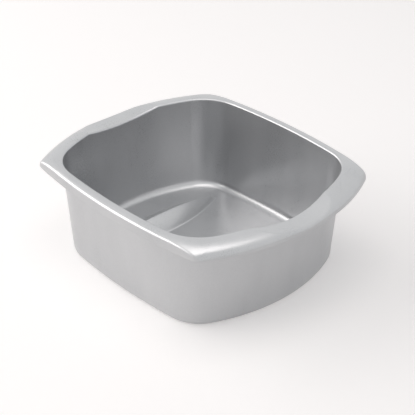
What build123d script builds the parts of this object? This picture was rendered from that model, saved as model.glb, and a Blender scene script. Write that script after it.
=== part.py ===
from build123d import *
import math
import os

# A rectangular washing-up bowl in one piece of moulded polypropylene.
# Millimetres. X runs from handle to handle, Y across the bowl and Z up.
# The origin is the middle of the base, on the surface that the bowl stands on.

os.makedirs("parts", exist_ok=True)

# Overall height and the thickness of the moulding
bowl_height = 133.0
wall = 2.0
floor_thickness = 2.5

# Mouth of the basin, where the inner wall reaches the height of the rim
mouth_half_length = 160.6
mouth_half_width = 143.0
mouth_end_bow = 248.0
mouth_side_bow = 824.0
mouth_corner = 59.6

# Walls, which lean out by one draft all round, and the roundings at their foot
wall_lean = 9.9
foot_rounding = 9.5
cove_rounding = 10.5

# Lip between the inner wall and the flat crown of the rim
lip_rounding = 2.2
crown_width = 3.0

# Top of the rim, which rolls down from the crown: in two arcs at the ends, in one at the sides
end_roll = 44.0
end_roll_turn = 24.0
end_edge_roll = 13.0
end_edge_turn = 60.0
side_roll = 20.0
side_roll_turn = 26.0
roll_corner = 28.0
roll_section_count = 16
under_section_count = 7

# Outer edge of the rim: how far it stands out past the mouth, and how much flatter its bows are
end_rim_width = 27.4
side_rim_width = 13.3
end_rim_flattening = 38.0
side_rim_flattening = 36.0
rim_half_length = mouth_half_length + end_rim_width
rim_half_width = mouth_half_width + side_rim_width
rim_end_bow = mouth_end_bow + end_rim_flattening
rim_side_bow = mouth_side_bow + side_rim_flattening
rim_corner = 14.0

# Skirt that hangs from the outer edge of the rim, and the roll's depth, which clears its hem
rim_edge_rounding = 3.2
skirt_depth = 15.0
roll_depth = skirt_depth + wall
skirt_flare_share = 0.04
skirt_hem_bevel = 0.5

# Scoop across each handle
scoop_depth = 8.2
scoop_half_width = 59.0
scoop_rounding = 6.0

# Leaf raised on the floor near each end, hollow underneath for the fingers that tip the bowl
leaf_end_distance = 77.9
leaf_side_distance = 39.0
leaf_place = mouth_half_length - leaf_end_distance
leaf_half_length = mouth_half_width - leaf_side_distance
leaf_half_width = 22.0
leaf_height = 16.3
leaf_bow = 1.3
leaf_crest_shift = 12.0
leaf_crest_rounding = 2.5
leaf_foot_rounding = 2.5

# Underside of the base
standing_ring_width = 5.0
base_recess = 0.7
gate_radius = 2.0
gate_height = 0.5

# How far cuts run past what they cut
overrun = 5.0


def bowed_outline(half_length, half_width, end_bow, side_bow, corner, height):
    """Rectangle with bowed ends, bowed sides and round corners, at one height."""
    end_centre = half_length - end_bow
    side_centre = half_width - side_bow
    end_to_corner = end_bow - corner
    side_to_corner = side_bow - corner
    span = math.hypot(end_centre, side_centre)
    along = (end_to_corner**2 - side_to_corner**2 + span**2) / (2 * span)
    across = math.sqrt(end_to_corner**2 - along**2)
    corner_x = end_centre - (along * end_centre + across * side_centre) / span
    corner_y = (along * side_centre - across * end_centre) / span
    end_turn = math.atan2(corner_y, corner_x - end_centre)
    side_turn = math.atan2(corner_y - side_centre, corner_x)

    arcs = []
    for flip in (0, math.pi):
        flip_sign = math.cos(flip)
        turns = (
            (end_centre, 0, end_bow, -end_turn, end_turn),
            (corner_x, corner_y, corner, end_turn, side_turn),
            (0, side_centre, side_bow, side_turn, math.pi - side_turn),
            (-corner_x, corner_y, corner, math.pi - side_turn, math.pi - end_turn),
        )
        for x, y, radius, start, stop in turns:
            plane = Plane(origin=(flip_sign * x, flip_sign * y, height))
            angles = (math.degrees(start + flip), math.degrees(stop + flip))
            arcs.append(Edge.make_circle(radius, plane, *angles))
    return Wire(arcs)


def basin_outline(inset, height):
    """Outline of the basin's outer wall at one height, drawn in by an inset."""
    growth = wall - inset - wall_lean * (bowl_height - height) / bowl_height
    return bowed_outline(
        mouth_half_length + growth,
        mouth_half_width + growth,
        mouth_end_bow + growth,
        mouth_side_bow + growth,
        mouth_corner + growth,
        height,
    )


def basin_block(inset, bottom, top, rounding):
    """Solid basin between two heights, drawn in by an inset, with a round foot."""
    block = Solid.make_loft([basin_outline(inset, bottom), basin_outline(inset, top)], True)
    return fillet(block.faces().sort_by(Axis.Z)[0].edges(), rounding)


def roll_reach(depth, inset, roll, roll_turn, edge_roll, edge_turn):
    """How far a roll of two arcs and a straight end stands out at one depth below the crown."""
    roll_angle = math.radians(roll_turn)
    edge_angle = math.radians(edge_turn)
    edge_centre_reach = (roll - edge_roll) * math.sin(roll_angle)
    edge_centre_depth = roll - (roll - edge_roll) * math.cos(roll_angle)
    edge_start = roll - (roll - inset) * math.cos(roll_angle)
    edge_stop = edge_centre_depth - (edge_roll - inset) * math.cos(edge_angle)
    if depth < edge_start:
        return math.sqrt((roll - inset) ** 2 - (roll - depth) ** 2)
    if depth < edge_stop:
        return edge_centre_reach + math.sqrt((edge_roll - inset) ** 2 - (edge_centre_depth - depth) ** 2)
    straight = (depth - edge_stop) / math.tan(edge_angle)
    return edge_centre_reach + (edge_roll - inset) * math.sin(edge_angle) + straight


def roof_block(inset, section_count, plain):
    """Solid under the top surface of the rim, with the scoops, lowered by an inset."""
    sections = []
    for index in range(section_count):
        share = index / (section_count - 1)
        depth = inset + (roll_depth - inset) * share**2
        end_reach = roll_reach(depth, inset, end_roll, end_roll_turn, end_edge_roll, end_edge_turn)
        side_reach = roll_reach(depth, inset, side_roll, side_roll_turn, side_roll, side_roll_turn)
        crown_corner = mouth_corner + crown_width
        sections.append(
            bowed_outline(
                mouth_half_length + crown_width + end_reach,
                mouth_half_width + crown_width + side_reach,
                mouth_end_bow + crown_width + end_reach,
                mouth_side_bow + crown_width + side_reach,
                crown_corner + (roll_corner - crown_corner) * share,
                bowl_height - depth,
            )
        )
    block = Solid.make_loft(sections, plain)
    scoop_radius = (scoop_half_width**2 + scoop_depth**2) / (2 * scoop_depth)
    scoop = Pos(0, 0, bowl_height - scoop_depth + scoop_radius) * Cylinder(
        scoop_radius + inset, 2 * (rim_half_length + overrun), rotation=(0, 90, 0)
    )
    block = block - scoop
    if plain:
        return block
    channel = block.faces().filter_by(GeomType.CYLINDER).sort_by(SortBy.AREA)[-1]
    return fillet(channel.edges(), scoop_rounding)


def skirt_block(inset, bottom_depth):
    """Solid inside the outer edge of the rim, flaring slightly towards the ground."""
    outlines = []
    for depth in (bottom_depth, -overrun):
        growth = (depth - skirt_depth) * skirt_flare_share - inset
        outlines.append(
            bowed_outline(
                rim_half_length + growth,
                rim_half_width + growth,
                rim_end_bow + growth,
                rim_side_bow + growth,
                rim_corner + growth,
                bowl_height - depth,
            )
        )
    return Solid.make_loft(outlines, True)


def outer_rim():
    """Solid rim: the roof cut off at the skirt, with a round outer edge and a bevelled hem."""
    block = roof_block(0, roll_section_count, False) & skirt_block(0, skirt_depth)
    top_edges = ShapeList()
    side_edges = ShapeList()
    for face in block.faces():
        if abs(face.normal_at(face.center()).Z) > 0.5:
            top_edges.extend(face.edges())
        else:
            side_edges.extend(face.edges())
    lowest_edge = bowl_height - skirt_depth + wall
    outer_edges = [edge for edge in side_edges if edge in top_edges and edge.center().Z > lowest_edge]
    block = fillet(outer_edges, rim_edge_rounding)
    return chamfer(block.faces().sort_by(Axis.Z)[0].edges(), skirt_hem_bevel)


def rim_hollow():
    """Space under the rim, one wall inside it, down past the hem."""
    return roof_block(wall, under_section_count, True) & skirt_block(wall, skirt_depth + overrun)


def leaf_block(end_sign, inset, bottom):
    """Raised leaf at one end of the floor: what two fat rings lying side by side share."""
    across = leaf_half_width + leaf_crest_shift
    widths = leaf_half_width**2 + 2 * leaf_half_width * leaf_crest_shift
    sunk = (widths - leaf_height**2) / (2 * leaf_height)
    tube_radius = math.hypot(across, sunk)
    leaf = Pos(end_sign * leaf_place, 0, bottom + tube_radius) * Box(
        4 * leaf_half_width, 3 * leaf_half_length, 2 * tube_radius
    )
    for side_sign in (1, -1):
        sagitta = leaf_half_width + side_sign * leaf_bow
        foot_bow = (leaf_half_length**2 + sagitta**2) / (2 * sagitta)
        centre = end_sign * (leaf_place + side_sign * (foot_bow - leaf_half_width))
        ring = Torus(foot_bow - across, tube_radius - inset)
        leaf = leaf & Pos(centre, 0, floor_thickness - sunk) * ring
    return leaf


def open_moulding():
    """Basin and rim as one thin wall, open at the top and under the rim."""
    outer_basin = basin_block(0, 0, bowl_height, foot_rounding)
    basin_space = basin_block(wall, floor_thickness, bowl_height + overrun, cove_rounding)
    slab_height = bowl_height - (skirt_depth + scoop_depth) / 2
    slab = Pos(0, 0, slab_height / 2) * Box(2 * rim_half_length, 2 * rim_half_length, slab_height)
    whole = outer_rim() + (outer_basin & slab) - (rim_hollow() - outer_basin)
    hollow = whole - basin_space
    lowest_lip = bowl_height - scoop_depth - lip_rounding
    lip_edges = [
        edge
        for edge in new_edges(whole, basin_space, combined=hollow)
        if edge.bounding_box().min.Z > lowest_lip
    ]
    return fillet(lip_edges, lip_rounding)


def base_hollow():
    """Shallow hollow that leaves a standing ring round the base, with the gate mark in it."""
    outlines = []
    for height in (-base_recess, base_recess):
        outlines.append(basin_outline(foot_rounding + standing_ring_width + height, height))
    hollow = Solid.make_loft(outlines, True)
    gate = Pos(0, 0, base_recess) * Cylinder(gate_radius, 2 * gate_height)
    return hollow - gate


def add_leaf(body, end_sign):
    """The moulding with one leaf raised on its floor, blended into it and hollow underneath."""
    leaf = leaf_block(end_sign, 0, base_recess)
    crest = [edge for edge in leaf.edges() if edge.center().Z > floor_thickness + leaf_height / 2]
    raised = body + fillet(crest, leaf_crest_rounding)
    floor_edges = raised.edges().filter_by_position(
        Axis.Z, floor_thickness - leaf_foot_rounding / 4, floor_thickness + leaf_foot_rounding / 4
    )
    foot_edges = [
        edge
        for edge in floor_edges
        if abs(edge.center().X - end_sign * leaf_place) < 2 * leaf_half_width
        and abs(edge.center().Y) < leaf_half_width
    ]
    blended = fillet(foot_edges, leaf_foot_rounding)
    return blended - leaf_block(end_sign, floor_thickness - base_recess, -overrun)


def bowl():
    """The whole bowl."""
    body = open_moulding() - base_hollow()
    for end_sign in (1, -1):
        body = add_leaf(body, end_sign)
    return body


export_step(bowl(), "parts/bowl.step")
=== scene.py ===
import math

import bmesh
import bpy
from mathutils import Matrix, Vector

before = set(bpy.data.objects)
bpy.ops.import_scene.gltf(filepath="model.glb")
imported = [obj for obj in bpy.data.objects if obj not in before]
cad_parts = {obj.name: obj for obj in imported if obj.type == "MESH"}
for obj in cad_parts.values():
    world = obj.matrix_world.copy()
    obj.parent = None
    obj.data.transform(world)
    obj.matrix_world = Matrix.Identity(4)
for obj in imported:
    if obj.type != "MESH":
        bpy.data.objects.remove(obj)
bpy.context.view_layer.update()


# The bowl is one injection moulding of polypropylene, silver-grey all through.
# Pearl flecks in the plastic make it shine like brushed metal, and the tool's satin finish
# dulls that. The plastic flowed up the walls from the gate, so the tone drifts that way.

class Finish:
    """One socket of a material's nodes. Sums on it add Math nodes to the same material."""

    def __init__(self, tree, socket=None):
        self.tree = tree
        self.socket = socket

    def node(self, kind, settings, values, output=0):
        """Add a node with its settings, and fill its sockets with values or links."""
        added = self.tree.nodes.new(kind)
        for name, setting in settings.items():
            setattr(added, name, setting)
        for name, value in values.items():
            if isinstance(value, Finish):
                self.tree.links.new(value.socket, added.inputs[name])
            else:
                added.inputs[name].default_value = value
        return Finish(self.tree, added.outputs[output])

    def blend(self, low_colour, high_colour):
        """Colour that goes from one to the other as this socket goes from 0 to 1."""
        sockets = {0: self, 6: low_colour, 7: high_colour}
        return self.node("ShaderNodeMix", {"data_type": "RGBA"}, sockets, 2)

    def feed(self, shader, name):
        """Link this socket to one of the shader's own."""
        self.tree.links.new(self.socket, shader.inputs[name])

    def sum(self, operation, first, second):
        """Add one Math node."""
        return self.node("ShaderNodeMath", {"operation": operation}, {0: first, 1: second})

    def __add__(self, other):
        return self.sum("ADD", self, other)

    def __radd__(self, other):
        return self.sum("ADD", other, self)

    def __sub__(self, other):
        return self.sum("SUBTRACT", self, other)

    def __rsub__(self, other):
        return self.sum("SUBTRACT", other, self)

    def __mul__(self, other):
        return self.sum("MULTIPLY", self, other)

    def __rmul__(self, other):
        return self.sum("MULTIPLY", other, self)


pearl_light = (0.588, 0.594, 0.604, 1)
pearl_deep = (0.506, 0.514, 0.526, 1)
pearl_metallic = 0.78
plastic_index = 1.49
satin_roughness = 0.30
fleck_size = 0.0008
grain_size = 0.0006
grain_height = 0.000006
drift_size = 0.05
ripple_size = 0.07
ripple_height = 0.0007
flow_stretch = (1, 1, 0.35)
middle_tone = 0.5
fleck_contrast = 1.6
drift_contrast = 1.2
fleck_shine = 0.12
drift_shine = 0.08

plastic = bpy.data.materials.new("silver_polypropylene")
plastic.use_nodes = True
plastic_shader = plastic.node_tree.nodes["Principled BSDF"]
plastic_shader.inputs["Metallic"].default_value = pearl_metallic
plastic_shader.inputs["IOR"].default_value = plastic_index

satin = Finish(plastic.node_tree)
place = satin.node("ShaderNodeTexCoord", {}, {}, "Object")
flow_place = satin.node("ShaderNodeMapping", {}, {"Vector": place, "Scale": flow_stretch})
drift = satin.node(
    "ShaderNodeTexNoise", {}, {"Vector": flow_place, "Scale": 1 / drift_size, "Detail": 3}
)
fleck = satin.node("ShaderNodeTexNoise", {}, {"Vector": place, "Scale": 1 / fleck_size, "Detail": 1})
grain = satin.node("ShaderNodeTexNoise", {}, {"Vector": place, "Scale": 1 / grain_size, "Detail": 2})
ripple = satin.node(
    "ShaderNodeTexNoise", {}, {"Vector": flow_place, "Scale": 1 / ripple_size, "Detail": 0}
)

pearl = middle_tone + (fleck - middle_tone) * fleck_contrast + (drift - middle_tone) * drift_contrast
pearl.blend(pearl_deep, pearl_light).feed(plastic_shader, "Base Color")
duller = (middle_tone - fleck) * fleck_shine + (drift - middle_tone) * drift_shine
roughness = satin_roughness + duller
roughness.feed(plastic_shader, "Roughness")
relief = grain * grain_height + ripple * ripple_height
surface = satin.node("ShaderNodeBump", {}, {"Height": relief, "Distance": 1, "Strength": 1})
surface.feed(plastic_shader, "Normal")

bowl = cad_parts["bowl"]
for slot in bowl.material_slots:
    slot.material = plastic


# Studio floor: a white paper sweep that the bowl stands on. It isn't part of the bowl.
# It glows a little for the camera and in reflections, so it stays white under plain light
# and keeps the bowl's shadow.

floor_reach = 6.0
floor_white = (0.9, 0.9, 0.9, 1)
paper_roughness = 0.8
floor_glow = (0.325, 0.312, 0.306, 1)
no_glow = (0, 0, 0, 1)

floor_mesh = bpy.data.meshes.new("floor")
floor_maker = bmesh.new()
bmesh.ops.create_grid(floor_maker, x_segments=1, y_segments=1, size=floor_reach)
floor_maker.to_mesh(floor_mesh)
floor_maker.free()
floor = bpy.data.objects.new("floor", floor_mesh)
bpy.context.scene.collection.objects.link(floor)

paper = bpy.data.materials.new("white_paper")
paper.use_nodes = True
paper_shader = paper.node_tree.nodes["Principled BSDF"]
paper_shader.inputs["Base Color"].default_value = floor_white
paper_shader.inputs["Roughness"].default_value = paper_roughness
paper_shader.inputs["Emission Strength"].default_value = 1


def seen_directly(tree):
    """1 where the camera, a reflection or a clear material looks, 0 where only light falls."""
    rays = Finish(tree)
    camera_ray = rays.node("ShaderNodeLightPath", {}, {}, "Is Camera Ray")
    glossy_ray = rays.node("ShaderNodeLightPath", {}, {}, "Is Glossy Ray")
    return camera_ray + glossy_ray + rays.node("ShaderNodeLightPath", {}, {}, "Is Transmission Ray")


seen_directly(paper.node_tree).blend(no_glow, floor_glow).feed(paper_shader, "Emission Color")
floor_mesh.materials.append(paper)


# Studio room: white walls all round, which fill the shadows with soft even light.
# The camera and the bowl's shine see them white, and they light the bowl more gently.

room_light = (0.31, 0.315, 0.325, 1)
room_white = (1, 1, 1, 1)

room = bpy.data.worlds.new("studio_room")
bpy.context.scene.world = room
room.use_nodes = True
room_shader = room.node_tree.nodes["Background"]
room_shader.inputs["Strength"].default_value = 1
seen_directly(room.node_tree).blend(room_light, room_white).feed(room_shader, "Color")


# Two softboxes: a large one at the left, which lights the long side and throws the soft
# shadow to the right, and a smaller one overhead, which draws the bright lines in the curves.

lamp_colour = (1.0, 0.950, 0.920)
bowl_middle = Vector((0, 0, 0.05))
side_place = Vector((-2.1, -1.65, 1.3))
side_width = 4.0
side_height = 2.4
side_watts = 64
overhead_place = Vector((0.1, -0.1, 1.9))
overhead_width = 1.3
overhead_watts = 7.5


def softbox(name, spot, width, height, watts):
    """A flat soft lamp that points at the bowl."""
    light = bpy.data.lights.new(name, "AREA")
    light.shape = "RECTANGLE"
    light.size = width
    light.size_y = height
    light.energy = watts
    light.color = lamp_colour
    lamp = bpy.data.objects.new(name, light)
    bpy.context.scene.collection.objects.link(lamp)
    lamp.location = spot
    lamp.rotation_euler = (bowl_middle - spot).to_track_quat("-Z", "Y").to_euler()


softbox("side_softbox", side_place, side_width, side_height, side_watts)
softbox("overhead_softbox", overhead_place, overhead_width, overhead_width, overhead_watts)


# The camera looks down over the corner between a long side and one handle, from a fair
# distance, so the far handle is drawn nearly as large as the near one.

view_azimuth = math.radians(47.615)
view_elevation = math.radians(31.371)
view_roll = 0.0023
view_distance = 1.63873
view_middle = Vector((0.00670, 0.00419, 0.06685))
focal_share = 1282 / 415
sensor_width = 36

towards_camera = Vector((
    math.sin(view_azimuth) * math.cos(view_elevation),
    -math.cos(view_azimuth) * math.cos(view_elevation),
    math.sin(view_elevation),
))
lens = bpy.data.cameras.new("camera")
lens.sensor_width = sensor_width
lens.lens = focal_share * sensor_width
camera = bpy.data.objects.new("camera", lens)
bpy.context.scene.collection.objects.link(camera)
camera.location = view_middle + towards_camera * view_distance
level_view = (-towards_camera).to_track_quat("-Z", "Y").to_matrix()
camera.rotation_euler = (level_view @ Matrix.Rotation(view_roll, 3, "Z")).to_euler()
bpy.context.scene.camera = camera
bpy.context.scene.view_settings.view_transform = "Standard"
